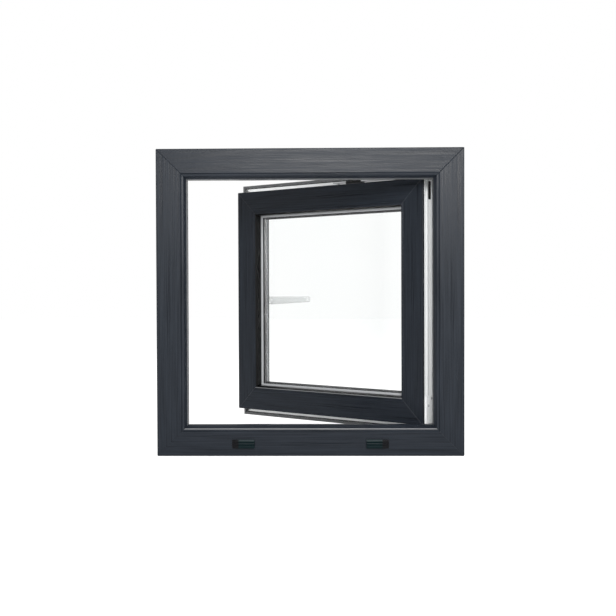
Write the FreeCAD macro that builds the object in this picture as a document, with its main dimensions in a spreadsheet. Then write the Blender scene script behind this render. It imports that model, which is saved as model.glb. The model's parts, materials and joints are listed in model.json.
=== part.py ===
import FreeCAD, Part
import os
import re

import Sketcher

# A tilt and turn window: a mitred profile frame, an inward opening glazed sash, its lower corner
# hinge, the stay arm above, the handle and its lock rod.
# X runs along the sill, to the right as seen from outside; Y runs into the room; Z is up.
# The origin is the middle of the frame's bottom face. Every sash piece is drawn with the sash shut and
# then turned about the hinge line by the angle at which the window stands open.

doc = FreeCAD.newDocument("TiltTurnWindow")

# Driving dimensions in millimetres and degrees.
# Profile sizes are measured inwards from the frame's outer edge, depths from the weather face.
DIMENSIONS = [
    ("frame_width", 600, "overall width"),
    ("frame_height", 600, "overall height"),
    ("frame_depth", 70, "weather face to room face"),
    ("frame_face", 60, "width of the frame profile seen from outside"),
    ("frame_rebate", 40, "frame profile under the sash, outer edge to rebate floor"),
    ("frame_leg", 25, "thickness of the outside leg that the sash closes against"),
    ("frame_bevel", 9, "depth of the slope on the frame's inner edge"),
    ("frame_slope", 6.5, "width of the slope on the frame's inner edge"),
    ("clip_depth", 4, "depth of the clip grooves round the frame's outer edge"),
    ("clip_width", 6, "width of a clip groove"),
    ("clip_inset", 12, "weather or room face to the nearer clip groove"),
    ("hardware_gap", 12, "air between the frame's rebate floor and the sash edge"),
    ("sash_gap", 5, "air between shut sash and frame, front and back"),
    ("sash_face", 54.5, "width of the sash profile seen from outside"),
    ("sash_bevel", 6, "depth of the slope on the sash's inner edge"),
    ("sash_slope", 4, "width of the slope on the sash's inner edge"),
    ("overlap", 8, "how far the sash flange laps over the frame"),
    ("flange", 9, "thickness of the sash flange"),
    ("flange_chamfer", 3, "bevel on the flange's room edge"),
    ("glazing_leg", 18, "thickness of the sash's outside glazing leg"),
    ("glazing_rebate", 20, "depth of the glazing rebate"),
    ("glass_bite", 15, "glass held behind the glazing leg"),
    ("pane", 4, "thickness of one pane"),
    ("gasket", 3, "thickness of a glazing gasket"),
    ("gasket_width", 9, "width of a glazing gasket"),
    ("gasket_lip", 4.5, "how far a glazing gasket stands out past the sash's inner edge"),
    ("spacer_height", 21.5, "height of the spacer bar with its edge seal"),
    ("spacer_inset", 2, "pane edge to the edge seal"),
    ("bead_share", 0.55, "the bead's share of the depth that gaskets and panes leave; the rest is air"),
    ("bead_slope", 9, "width of the slope on a glazing bead"),
    ("bead_lip", 6, "thickness of the bead's inner edge"),
    ("groove_setback", 18, "sash front to the middle of the hardware groove"),
    ("plate_width", 16, "width of a hardware faceplate"),
    ("plate", 2.5, "thickness of faceplates and hinge straps"),
    ("chamber_width", 10, "width of the groove under the faceplate"),
    ("chamber_depth", 9, "depth of the groove under the faceplate"),
    ("seal_width", 5, "width of the seals between frame and sash"),
    ("seal_inset", 1, "edge to seal"),
    ("seal_gap", 0.5, "air at a seal's lip with the sash shut"),
    ("strap_gap", 0.5, "air between the flange and a hinge strap"),
    ("hinge_inset", 23, "frame's outer edge to the hinge line"),
    ("hinge_rise", 9, "frame's room face to the hinge line"),
    ("hinge_pin", 3, "radius of the hinge pins"),
    ("knuckle", 6, "radius of the hinge knuckles"),
    ("turn_angle", 37, "how far the sash stands open"),
    ("bearing_plate", 1.2, "thickness of the bearing plates on the frame"),
    ("bearing_edge", 8, "frame's outer edge to a bearing plate"),
    ("bearing_lug", 8, "height of a bearing lug"),
    ("tilt_height", 33, "bottom of the frame to the tilting pivot"),
    ("corner_lug_top", 24, "bottom of the frame to the top of the corner bearing's lug"),
    ("corner_plate_height", 54, "height of the corner bearing's plate"),
    ("pivot_ball", 4.2, "radius of the tilting pivot's ball"),
    ("pivot_collar", 2, "thickness of the pivot's collar"),
    ("running_gap", 0.3, "air between a pin and what it turns in"),
    ("socket_gap", 0.4, "air round the pivot's ball"),
    ("strap_height", 26, "height of a hinge strap beside the knuckle"),
    ("strap_low", 54, "bottom of the frame to the lower hinge strap"),
    ("strap_leg", 56, "height of the lower hinge strap along the sash"),
    ("arm_width", 14, "width of the stay arm"),
    ("arm_gap", 4, "air between the sash's top edge and the stay arm"),
    ("arm_reach", 250, "hinge line to the stay arm's stud"),
    ("arm_eye", 15, "height of the stay arm's eye"),
    ("arm_end", 10, "length of the stay arm past its stud"),
    ("arm_play", 0.6, "air between the stay pin and the arm's eye"),
    ("arm_root", 21, "hinge line to the stay arm's cranked strap"),
    ("crank_width", 16, "width of the stay arm's cranked strap"),
    ("lug_gap", 1.5, "air above and below the stay arm's eye"),
    ("stay_stud", 2.2, "radius of the stud under the stay arm"),
    ("stud_depth", 9, "how deep the stud reaches into the groove"),
    ("stay_slot", 9, "width of the slot that guides the stud"),
    ("stay_travel", 24, "length that the stud slides as the sash tilts"),
    ("stay_play", 3, "length of the slot behind the stud"),
    ("stay_plate_length", 230, "length of the plate that guides the stay arm"),
    ("lock_plate_length", 380, "length of the faceplate on the lock stile"),
    ("cam_pitch", 240, "distance between the locking cams"),
    ("cam_radius", 5, "radius of a locking cam"),
    ("cam_height", 7, "height of a locking cam"),
    ("cam_stem", 3, "radius of a cam's stem"),
    ("cam_travel", 18, "lock rod travel for a quarter turn of the handle"),
    ("rod_width", 8, "width of the lock rod"),
    ("rod_thickness", 2, "thickness of the lock rod"),
    ("striker_length", 44, "length of a striker plate"),
    ("striker_width", 20, "width of a striker plate"),
    ("striker_plate", 2, "thickness of a striker plate"),
    ("lip_height", 8, "height of a striker's lip above the rebate floor"),
    ("lip_length", 14, "length of a striker's lip"),
    ("lip_thickness", 3, "thickness of a striker's lip"),
    ("lip_gap", 1.5, "air between a cam and the striker's lip"),
    ("handle_backset", 16, "sash edge to the handle's axis"),
    ("rosette_width", 30, "width of the handle's base"),
    ("rosette_height", 72, "height of the handle's base"),
    ("rosette_depth", 10, "thickness of the handle's base"),
    ("rosette_corner", 9, "rounding of the base's corners"),
    ("rosette_rim", 2, "rounding of the base's rim"),
    ("neck_radius", 9, "radius of the handle's neck"),
    ("neck_length", 30, "handle's base to the back of the lever"),
    ("lever_length", 114, "handle's axis to the lever's tip"),
    ("lever_root", 19, "height of the lever at the neck"),
    ("lever_tip", 13, "height of the lever at its tip"),
    ("lever_depth", 13, "thickness of the lever"),
    ("lever_round", 3, "rounding of the lever's edges"),
    ("cap_spacing", 262, "distance between the drain caps"),
    ("cap_height", 24, "bottom of the frame to a drain cap's middle"),
    ("cap_length", 44, "length of a drain cap"),
    ("cap_width", 17, "height of a drain cap"),
    ("cap_depth", 6, "how far a drain cap stands out"),
    ("cap_slope", 12, "length of the slope at a drain cap's outer end"),
    ("cap_lip", 1, "thickness of a drain cap at the foot of its slope"),
    ("louvre_width", 1.5, "width of a slot in a drain cap"),
    ("louvre_depth", 2, "depth of a slot in a drain cap"),
    ("louvre_margin", 2, "end of a drain cap's face to a slot"),
]

dims = doc.addObject("Spreadsheet::Sheet", "dims")
for row, (alias, number, note) in enumerate(DIMENSIONS, 1):
    dims.set(f"A{row}", note)
    dims.set(f"B{row}", str(number))
    dims.setAlias(f"B{row}", alias)
doc.recompute()

ALIASES = re.compile(r"\b(" + "|".join(alias for alias, number, note in DIMENSIONS) + r")\b")


def cell(text):
    """Write an expression in the sheet's own names as one that other objects can hold."""
    return ALIASES.sub(r"dims.\1", text)


def number(text):
    """Value of an expression now, for a sketch's first drawing."""
    return float(dims.evalExpression(cell(text)))


# Places in the profiles, worked out from the driving dimensions.
SASH_EDGE = "(frame_rebate + hardware_gap)"
FLANGE_EDGE = "(frame_rebate - overlap)"
SASH_TIP = f"({SASH_EDGE} + sash_face)"
GLASS_FLOOR = f"({SASH_TIP} - glazing_rebate)"
GLASS_EDGE = f"({SASH_TIP} - glass_bite)"
GASKET_TIP = f"({SASH_TIP} + gasket_lip)"
SASH_FRONT = "(frame_leg + sash_gap)"
FLANGE_FRONT = "(frame_depth + sash_gap)"
SASH_BACK = f"({FLANGE_FRONT} + flange)"
LEG_BACK = f"({SASH_FRONT} + glazing_leg)"
GLASS_FRONT = f"({LEG_BACK} + gasket)"
CAVITY_FRONT = f"({GLASS_FRONT} + pane)"
BEAD_DEPTH = f"(bead_share * ({SASH_BACK} - {LEG_BACK} - 2 * gasket - 2 * pane))"
BEAD_FRONT = f"({SASH_BACK} - {BEAD_DEPTH})"
GLASS_BACK = f"({BEAD_FRONT} - gasket)"
CAVITY_BACK = f"({GLASS_BACK} - pane)"
GROOVE = f"({SASH_FRONT} + groove_setback)"
STRAP_BACK = f"({FLANGE_FRONT} - strap_gap)"
STRAP_FRONT = f"({STRAP_BACK} - plate)"
HINGE_DEPTH = "(frame_depth + hinge_rise)"
HINGE_X = "(frame_width / 2 - hinge_inset)"


def depth(v):
    """Y of a depth behind the weather face."""
    return f"({v} - frame_depth / 2)"


HINGE_Y = depth(HINGE_DEPTH)


def left(u):
    """X of a profile place on the left side."""
    return f"({u} - frame_width / 2)"


def right(u):
    """X of a profile place on the right side."""
    return f"(frame_width / 2 - {u})"


def bottom(u):
    """Z of a profile place on the bottom side."""
    return f"({u})"


def top(u):
    """Z of a profile place on the top side."""
    return f"(frame_height - {u})"


SIDES = {"top": top, "bottom": bottom, "left": left, "right": right}


def place(obj, x="0", y="0", z="0", on_sash=False):
    """Bind an object's place; a sash piece is carried round the hinge line by the opening angle."""
    if on_sash:
        across = f"({x} - {HINGE_X})"
        inward = f"({y} - {HINGE_Y})"
        x = f"{HINGE_X} + {across} * cos(turn_angle) + {inward} * sin(turn_angle)"
        y = f"{HINGE_Y} - {across} * sin(turn_angle) + {inward} * cos(turn_angle)"
        obj.setExpression("Placement.Rotation.Angle", cell("-turn_angle"))
    obj.setExpression("Placement.Base.x", cell(x))
    obj.setExpression("Placement.Base.y", cell(y))
    obj.setExpression("Placement.Base.z", cell(z))


def sketch(body, name, plane, outlines, offset="0"):
    """Closed outlines on one of the body's planes; every corner is held by two bound distances."""
    drawing = body.newObject("Sketcher::SketchObject", name)
    support = [f for f in body.Origin.OriginFeatures if f.Role == plane][0]
    drawing.AttachmentSupport = (support, [""])
    drawing.MapMode = "FlatFace"
    drawing.setExpression("AttachmentOffset.Base.z", cell(offset))
    for corners in outlines:
        points = [FreeCAD.Vector(number(x), number(y), 0) for x, y in corners]
        first = drawing.GeometryCount
        count = len(points)
        for i in range(count):
            drawing.addGeometry(Part.LineSegment(points[i], points[(i + 1) % count]))
        for i in range(count):
            following = first + (i + 1) % count
            drawing.addConstraint(Sketcher.Constraint("Coincident", first + i, 2, following, 1))
        for i, (x, y) in enumerate(corners):
            for kind, text in (("DistanceX", x), ("DistanceY", y)):
                held = Sketcher.Constraint(kind, -1, 1, first + i, 1, number(text))
                index = drawing.addConstraint(held)
                drawing.setExpression(f"Constraints[{index}]", cell(text))
    return drawing


def pad(body, drawing, length, symmetric=False):
    """Extrude a sketch along its plane's normal."""
    feature = body.newObject("PartDesign::Pad", drawing.Name + "_pad")
    feature.Profile = drawing
    feature.setExpression("Length", cell(length))
    if symmetric:
        feature.SideType = "Symmetric"
    return feature


def saw(body, drawing):
    """Cut a sketch right through the body, both ways."""
    feature = body.newObject("PartDesign::Pocket", drawing.Name + "_cut")
    feature.Profile = drawing
    feature.SideType = "Symmetric"
    feature.setExpression("Length", cell("4 * frame_depth"))
    return feature


PARTS = []


def keep(obj, label):
    """Name a finished sub-part and put it on the list of those written out."""
    obj.Label = label
    PARTS.append(obj)
    return obj


def mitred_bar(label, side, profile, outer, inner, on_sash=False):
    """One bar of a frame: the profile runs the bar's length and both ends are sawn at 45 degrees."""
    body = doc.addObject("PartDesign::Body", label)
    across = SIDES[side]
    if side in ("top", "bottom"):
        section = [(depth(v), across(u)) for u, v in profile]
        drawing = sketch(body, label + "_profile", "YZ_Plane", [section])
        pad(body, drawing, f"frame_width - 2 * {outer}", symmetric=True)
        ends = (left, right)
        corners = [[(end(outer), across(outer)), (end(outer), across(inner)), (end(inner), across(inner))]
                   for end in ends]
    else:
        section = [(across(u), depth(v)) for u, v in profile]
        drawing = sketch(body, label + "_profile", "XY_Plane", [section], offset=outer)
        pad(body, drawing, f"frame_height - 2 * {outer}")
        ends = (bottom, top)
        corners = [[(across(outer), end(outer)), (across(inner), end(outer)), (across(inner), end(inner))]
                   for end in ends]
    saw(body, sketch(body, label + "_mitre", "XZ_Plane", corners))
    place(body, on_sash=on_sash)
    return keep(body, label)


def rectangle(u):
    """Corners of a rectangle that lies a profile distance inside the frame's outer edge."""
    return [(left(u), bottom(u)), (right(u), bottom(u)), (right(u), top(u)), (left(u), top(u))]


def ring(label, outer, inner, front, back):
    """A closed rectangular strip between two profile distances and two depths."""
    body = doc.addObject("PartDesign::Body", label)
    drawing = sketch(body, label + "_outline", "XZ_Plane", [rectangle(outer), rectangle(inner)],
                     offset=f"-{depth(back)}")
    pad(body, drawing, f"{back} - {front}")
    return body


def round_edges(body, feature, name, radius, chosen):
    """Round the chosen edges of a body's latest feature."""
    doc.recompute()
    rounding = body.newObject("PartDesign::Fillet", name)
    rounding.Base = (feature, [f"Edge{i + 1}" for i, edge in enumerate(feature.Shape.Edges) if chosen(edge)])
    rounding.setExpression("Radius", cell(radius))
    return rounding


def box(name, x, y, z):
    """A block between two places on each axis."""
    block = doc.addObject("Part::Box", name)
    for size, (low, high) in (("Length", x), ("Width", y), ("Height", z)):
        block.setExpression(size, cell(f"{high} - {low}"))
    place(block, x[0], y[0], z[0])
    return block


def post(name, x, y, z, radius):
    """An upright cylinder between two heights."""
    cylinder = doc.addObject("Part::Cylinder", name)
    cylinder.setExpression("Radius", cell(radius))
    cylinder.setExpression("Height", cell(f"{z[1]} - {z[0]}"))
    place(cylinder, x, y, z[0])
    return cylinder


def fuse(name, pieces):
    """Several pieces made one solid."""
    whole = doc.addObject("Part::MultiFuse", name)
    whole.Shapes = pieces
    whole.Refine = True
    return whole


def cut(name, base, tools):
    """A piece with others taken out of it."""
    result = doc.addObject("Part::Cut", name)
    result.Base = base
    result.Tool = tools[0] if len(tools) == 1 else fuse(name + "_tools", tools)
    return result


# Frame bars: sloped outside leg, rebate behind it, two clip grooves round the outer edge.
FRAME_PROFILE = [
    ("0", "0"),
    ("(frame_face - frame_slope)", "0"),
    ("frame_face", "frame_bevel"),
    ("frame_face", "frame_leg"),
    ("frame_rebate", "frame_leg"),
    ("frame_rebate", "frame_depth"),
    ("0", "frame_depth"),
    ("0", "(frame_depth - clip_inset)"),
    ("clip_depth", "(frame_depth - clip_inset)"),
    ("clip_depth", "(frame_depth - clip_inset - clip_width)"),
    ("0", "(frame_depth - clip_inset - clip_width)"),
    ("0", "(clip_inset + clip_width)"),
    ("clip_depth", "(clip_inset + clip_width)"),
    ("clip_depth", "clip_inset"),
    ("0", "clip_inset"),
]
for side in SIDES:
    mitred_bar("frame_" + side, side, FRAME_PROFILE, "0", "frame_face")

# Seal on the back of the frame's outside leg.
frame_seal = ring("frame_seal", "(frame_face - seal_inset - seal_width)", "(frame_face - seal_inset)",
                  "frame_leg", f"({SASH_FRONT} - seal_gap)")
keep(frame_seal, "frame_seal")

# Sash bars: sloped glazing leg, glazing rebate, flange that laps the frame, stepped hardware groove.
PLATE_LOW = f"({GROOVE} - plate_width / 2)"
PLATE_HIGH = f"({GROOVE} + plate_width / 2)"
CHAMBER_LOW = f"({GROOVE} - chamber_width / 2)"
CHAMBER_HIGH = f"({GROOVE} + chamber_width / 2)"
PLATE_FLOOR = f"({SASH_EDGE} + plate)"
CHAMBER_FLOOR = f"({PLATE_FLOOR} + chamber_depth)"
SASH_PROFILE = [
    (SASH_EDGE, SASH_FRONT),
    (f"({SASH_TIP} - sash_slope)", SASH_FRONT),
    (SASH_TIP, f"({SASH_FRONT} + sash_bevel)"),
    (SASH_TIP, LEG_BACK),
    (GLASS_FLOOR, LEG_BACK),
    (GLASS_FLOOR, SASH_BACK),
    (f"({FLANGE_EDGE} + flange_chamfer)", SASH_BACK),
    (FLANGE_EDGE, f"({SASH_BACK} - flange_chamfer)"),
    (FLANGE_EDGE, FLANGE_FRONT),
    (SASH_EDGE, FLANGE_FRONT),
    (SASH_EDGE, PLATE_HIGH),
    (PLATE_FLOOR, PLATE_HIGH),
    (PLATE_FLOOR, CHAMBER_HIGH),
    (CHAMBER_FLOOR, CHAMBER_HIGH),
    (CHAMBER_FLOOR, CHAMBER_LOW),
    (PLATE_FLOOR, CHAMBER_LOW),
    (PLATE_FLOOR, PLATE_LOW),
    (SASH_EDGE, PLATE_LOW),
]
for side in SIDES:
    mitred_bar("sash_" + side, side, SASH_PROFILE, FLANGE_EDGE, SASH_TIP, on_sash=True)

# Glazing beads, clipped into the rebate from the room.
BEAD_PROFILE = [
    (GLASS_FLOOR, BEAD_FRONT),
    (SASH_TIP, BEAD_FRONT),
    (SASH_TIP, f"({BEAD_FRONT} + bead_lip)"),
    (f"({SASH_TIP} - bead_slope)", SASH_BACK),
    (GLASS_FLOOR, SASH_BACK),
]
for side in SIDES:
    mitred_bar("bead_" + side, side, BEAD_PROFILE, GLASS_FLOOR, SASH_TIP, on_sash=True)

# Sealed unit: two panes on a spacer bar, gripped between two gaskets.
for label, front, back in (("glazing_gasket_outer", LEG_BACK, GLASS_FRONT),
                           ("glazing_gasket_inner", GLASS_BACK, BEAD_FRONT)):
    strip = ring(label, f"({GASKET_TIP} - gasket_width)", GASKET_TIP, front, back)
    place(strip, on_sash=True)
    keep(strip, label)
SPACER_EDGE = f"({GLASS_EDGE} + spacer_inset)"
spacer = ring("spacer_bar", SPACER_EDGE, f"({SPACER_EDGE} + spacer_height)", CAVITY_FRONT, CAVITY_BACK)
place(spacer, on_sash=True)
keep(spacer, "spacer_bar")
for label, front, back in (("pane_outer", GLASS_FRONT, CAVITY_FRONT),
                           ("pane_inner", CAVITY_BACK, GLASS_BACK)):
    pane = box(label, (left(GLASS_EDGE), right(GLASS_EDGE)), (depth(front), depth(back)),
               (bottom(GLASS_EDGE), top(GLASS_EDGE)))
    place(pane, left(GLASS_EDGE), depth(front), bottom(GLASS_EDGE), on_sash=True)
    keep(pane, label)

# Corner bearing: a plate on the frame with a lug that carries the pivot pin.
CORNER_LUG = ("(corner_lug_top - bearing_lug)", "corner_lug_top")
BEARING_X = (f"({HINGE_X} - knuckle - 1)", right("bearing_edge"))
BEARING_FACE = (depth("frame_depth"), depth("(frame_depth + bearing_plate)"))


def lug(name, heights):
    """A lug with a round end that reaches from a bearing plate to the hinge line."""
    arm = box(name + "_arm", (f"({HINGE_X} - knuckle)", f"({HINGE_X} + knuckle)"), (BEARING_FACE[0], HINGE_Y),
              heights)
    return [arm, post(name + "_end", HINGE_X, HINGE_Y, heights, "knuckle")]


corner_plate = box("corner_plate", BEARING_X, BEARING_FACE,
                   ("bearing_edge", "(bearing_edge + corner_plate_height)"))
corner_body = fuse("corner_body", [corner_plate] + lug("corner_lug", CORNER_LUG))
corner_hole = post("corner_hole", HINGE_X, HINGE_Y, ("0", "tilt_height"), "(hinge_pin + running_gap)")
keep(cut("corner_bearing", corner_body, [corner_hole]), "corner_bearing")

# Pivot pin: it turns in the corner bearing, and the sash tilts on its ball.
COLLAR_FOOT = "(corner_lug_top + running_gap)"
pin_shaft = post("pin_shaft", HINGE_X, HINGE_Y, (CORNER_LUG[0], "tilt_height"), "hinge_pin")
pin_collar = post("pin_collar", HINGE_X, HINGE_Y, (COLLAR_FOOT, f"({COLLAR_FOOT} + pivot_collar)"),
                  "(hinge_pin + pivot_collar)")
pin_ball = doc.addObject("Part::Sphere", "pin_ball")
pin_ball.setExpression("Radius", cell("pivot_ball"))
place(pin_ball, HINGE_X, HINGE_Y, "tilt_height")
keep(fuse("pivot_pin", [pin_shaft, pin_collar, pin_ball]), "pivot_pin")

# Lower hinge strap: a knuckle with a socket over the ball, and an angle round the sash's edge.
SOCKET = "(pivot_ball + socket_gap)"
STRAP_TOP = "(strap_low + strap_height)"
STRAP_Y = (depth(STRAP_FRONT), depth(STRAP_BACK))
KNUCKLE_FOOT = "(tilt_height - hinge_pin)"
knuckle_post = post("strap_knuckle", HINGE_X, HINGE_Y, (KNUCKLE_FOOT, STRAP_TOP), "knuckle")
strap_face = box("strap_face", (right(SASH_EDGE), HINGE_X), STRAP_Y, ("strap_low", STRAP_TOP))
strap_edge = box("strap_edge", (right(SASH_EDGE), f"({right(SASH_EDGE)} + plate)"),
                 (depth(PLATE_LOW), depth(STRAP_BACK)), ("strap_low", "(strap_low + strap_leg)"))
strap_whole = fuse("strap_whole", [knuckle_post, strap_face, strap_edge])
socket = post("strap_socket", HINGE_X, HINGE_Y, ("0", f"(tilt_height + {SOCKET})"), SOCKET)
lower_strap = cut("lower_hinge_strap", strap_whole, [socket])
place(lower_strap, on_sash=True)
keep(lower_strap, "lower_hinge_strap")

# Stay arm: an eye on the stay pin, a strap through the gap behind the flange, a crank and a long bar.
ARM_FOOT = f"({top(SASH_EDGE)} + arm_gap)"
ARM_TOP = f"({ARM_FOOT} + plate)"
EYE_FOOT = f"({ARM_TOP} - arm_eye)"
ARM_ROOT = f"({HINGE_X} - arm_root)"
STUD_X = f"({HINGE_X} - arm_reach)"
STUD_Y = depth(GROOVE)
ARM_Y = (depth(f"({GROOVE} - arm_width / 2)"), depth(f"({GROOVE} + arm_width / 2)"))
eye = post("arm_eye_post", HINGE_X, HINGE_Y, (EYE_FOOT, ARM_TOP), "knuckle")
arm_strap = box("arm_strap", (f"({right(SASH_EDGE)} + plate)", HINGE_X), STRAP_Y, (EYE_FOOT, ARM_TOP))
arm_crank = box("arm_crank", (f"({ARM_ROOT} - crank_width)", ARM_ROOT), (ARM_Y[0], STRAP_Y[1]),
                (ARM_FOOT, ARM_TOP))
arm_bar = box("arm_bar", (f"({STUD_X} - arm_end)", ARM_ROOT), ARM_Y, (ARM_FOOT, ARM_TOP))
stud = post("arm_stud", STUD_X, STUD_Y, (f"({top(SASH_EDGE)} - stud_depth)", ARM_FOOT), "stay_stud")
arm_whole = fuse("arm_whole", [eye, arm_strap, arm_crank, arm_bar, stud])
eye_hole = post("arm_eye_hole", HINGE_X, HINGE_Y, ("0", "frame_height"), "(hinge_pin + arm_play)")
stay_arm = cut("stay_arm", arm_whole, [eye_hole])
place(stay_arm, on_sash=True)
keep(stay_arm, "stay_arm")

# Stay bearing: a plate on the frame whose two lugs hold the stay pin.
LOW_LUG = (f"({EYE_FOOT} - lug_gap - bearing_lug)", f"({EYE_FOOT} - lug_gap)")
HIGH_LUG = (f"({ARM_TOP} + lug_gap)", f"({ARM_TOP} + lug_gap + bearing_lug)")
stay_plate = box("stay_bearing_plate", BEARING_X, BEARING_FACE,
                 (f"({LOW_LUG[0]} - bearing_lug)", f"({HIGH_LUG[1]} + bearing_lug)"))
stay_pin = post("stay_pin", HINGE_X, HINGE_Y, (LOW_LUG[0], HIGH_LUG[1]), "hinge_pin")
stay_lugs = lug("stay_low_lug", LOW_LUG) + lug("stay_high_lug", HIGH_LUG)
keep(fuse("stay_bearing", [stay_plate, stay_pin] + stay_lugs), "stay_bearing")

# Stay guide: the faceplate in the sash's top edge, with the slot that the stud slides in.
GUIDE_X = (f"({STUD_X} - arm_end - plate_width)", f"({STUD_X} - arm_end - plate_width + stay_plate_length)")
GUIDE_Z = (f"({top(SASH_EDGE)} - plate)", top(SASH_EDGE))
PLATE_Y = (depth(PLATE_LOW), depth(PLATE_HIGH))
guide_plate = box("stay_guide_plate", GUIDE_X, PLATE_Y, GUIDE_Z)
guide_slot = box("stay_guide_slot",
                 (f"({STUD_X} - stay_play - stay_slot / 2)", f"({STUD_X} + stay_travel + stay_slot / 2)"),
                 (f"({STUD_Y} - stay_slot / 2)", f"({STUD_Y} + stay_slot / 2)"),
                 (f"({GUIDE_Z[0]} - plate)", f"({GUIDE_Z[1]} + plate)"))
stay_guide = cut("stay_guide", guide_plate, [guide_slot])
place(stay_guide, on_sash=True)
keep(stay_guide, "stay_guide")

# Overlap seal under the sash flange, parted where the two hinge straps pass.
SEAL_EDGE = f"({FLANGE_EDGE} + seal_inset)"
seal_ring = ring("overlap_seal_ring", SEAL_EDGE, f"({SEAL_EDGE} + seal_width)", "(frame_depth + seal_gap)",
                 FLANGE_FRONT)
notches = [box(name, (right(SASH_EDGE), HINGE_X), (depth("frame_depth"), depth(FLANGE_FRONT)),
               (f"({low} - lug_gap)", f"({high} + lug_gap)"))
           for name, low, high in (("seal_notch_low", "strap_low", STRAP_TOP),
                                   ("seal_notch_high", EYE_FOOT, ARM_TOP))]
overlap_seal = cut("overlap_seal", seal_ring, notches)
place(overlap_seal, on_sash=True)
keep(overlap_seal, "overlap_seal")

# Lock stile: faceplate with two slots, and behind it the rod that carries the locking cams.
MIDDLE = "(frame_height / 2)"
LOCK_X = left(SASH_EDGE)
CAM_HEIGHTS = {"upper": f"({MIDDLE} + cam_pitch / 2)", "lower": f"({MIDDLE} - cam_pitch / 2)"}


def peg(name, x, z, radius):
    """A cylinder that stands across the lock gap, between two places along X."""
    cylinder = doc.addObject("Part::Cylinder", name)
    cylinder.Placement = FreeCAD.Placement(FreeCAD.Vector(), FreeCAD.Rotation(FreeCAD.Vector(0, 1, 0), 90))
    cylinder.setExpression("Radius", cell(radius))
    cylinder.setExpression("Height", cell(f"{x[1]} - {x[0]}"))
    place(cylinder, x[0], STUD_Y, z)
    return cylinder


ROD_X = (f"({left(PLATE_FLOOR)} + running_gap)", f"({left(PLATE_FLOOR)} + running_gap + rod_thickness)")
lock_plate = box("lock_plate", (LOCK_X, left(PLATE_FLOOR)), PLATE_Y,
                 (f"({MIDDLE} - lock_plate_length / 2)", f"({MIDDLE} + lock_plate_length / 2)"))
lock_slots = []
lock_pieces = [box("lock_strip", ROD_X, (f"({STUD_Y} - rod_width / 2)", f"({STUD_Y} + rod_width / 2)"),
                   (f"({CAM_HEIGHTS['lower']} - rod_width)", f"({CAM_HEIGHTS['upper']} + rod_width)"))]
for place_name, height in CAM_HEIGHTS.items():
    half = "(cam_stem + lug_gap / 2)"
    lock_slots.append(box("lock_slot_" + place_name, (f"({LOCK_X} - plate)", ROD_X[1]),
                          (f"({STUD_Y} - {half})", f"({STUD_Y} + {half})"),
                          (f"({height} - cam_travel - {half})", f"({height} + cam_travel + {half})")))
    stem_x = (f"({LOCK_X} - running_gap)", ROD_X[1])
    lock_pieces.append(peg("cam_stem_" + place_name, stem_x, height, "cam_stem"))
    lock_pieces.append(peg("cam_" + place_name, (f"({LOCK_X} - running_gap - cam_height)",
                                                 f"({LOCK_X} - running_gap)"), height, "cam_radius"))
    striker_z = f"({height} + cam_travel)"
    floor = left("frame_rebate")
    lip_low = f"({STUD_Y} + cam_radius + lip_gap)"
    striker = fuse("striker_" + place_name, [
        box("striker_plate_" + place_name, (floor, f"({floor} + striker_plate)"),
            (f"({lip_low} + lip_thickness - striker_width)", f"({lip_low} + lip_thickness)"),
            (f"({striker_z} - striker_length / 2)", f"({striker_z} + striker_length / 2)")),
        box("striker_lip_" + place_name, (floor, f"({floor} + lip_height)"),
            (lip_low, f"({lip_low} + lip_thickness)"),
            (f"({striker_z} - lip_length / 2)", f"({striker_z} + lip_length / 2)"))])
    keep(striker, "striker_" + place_name)
lock_faceplate = cut("lock_faceplate", lock_plate, lock_slots)
place(lock_faceplate, on_sash=True)
keep(lock_faceplate, "lock_faceplate")
lock_rod = fuse("lock_rod", lock_pieces)
place(lock_rod, on_sash=True)
keep(lock_rod, "lock_rod")

# Handle: a base on the sash and a tapered lever, level as it stands when the sash is turned open.
HANDLE_X = left(f"({SASH_EDGE} + handle_backset)")
ROSETTE_BACK = f"({SASH_BACK} + rosette_depth)"
NECK_FRONT = f"({ROSETTE_BACK} + running_gap)"
LEVER_FRONT = f"({ROSETTE_BACK} + neck_length)"
LEVER_BACK = f"({LEVER_FRONT} + lever_depth)"
rosette = doc.addObject("PartDesign::Body", "handle_rosette")
rosette_outline = [(f"({HANDLE_X} {sx} rosette_width / 2)", f"({MIDDLE} {sz} rosette_height / 2)")
                   for sx, sz in (("-", "-"), ("+", "-"), ("+", "+"), ("-", "+"))]
rosette_block = pad(rosette, sketch(rosette, "rosette_outline", "XZ_Plane", [rosette_outline],
                                    offset=f"-{depth(ROSETTE_BACK)}"), "rosette_depth")
rosette_plate = round_edges(rosette, rosette_block, "rosette_corners", "rosette_corner",
                            lambda edge: edge.BoundBox.YLength > 1)
rim_height = number(depth(ROSETTE_BACK)) - 0.1
round_edges(rosette, rosette_plate, "rosette_rim_rounding", "rosette_rim",
            lambda edge: edge.BoundBox.YMin > rim_height)
place(rosette, on_sash=True)
keep(rosette, "handle_rosette")

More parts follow.
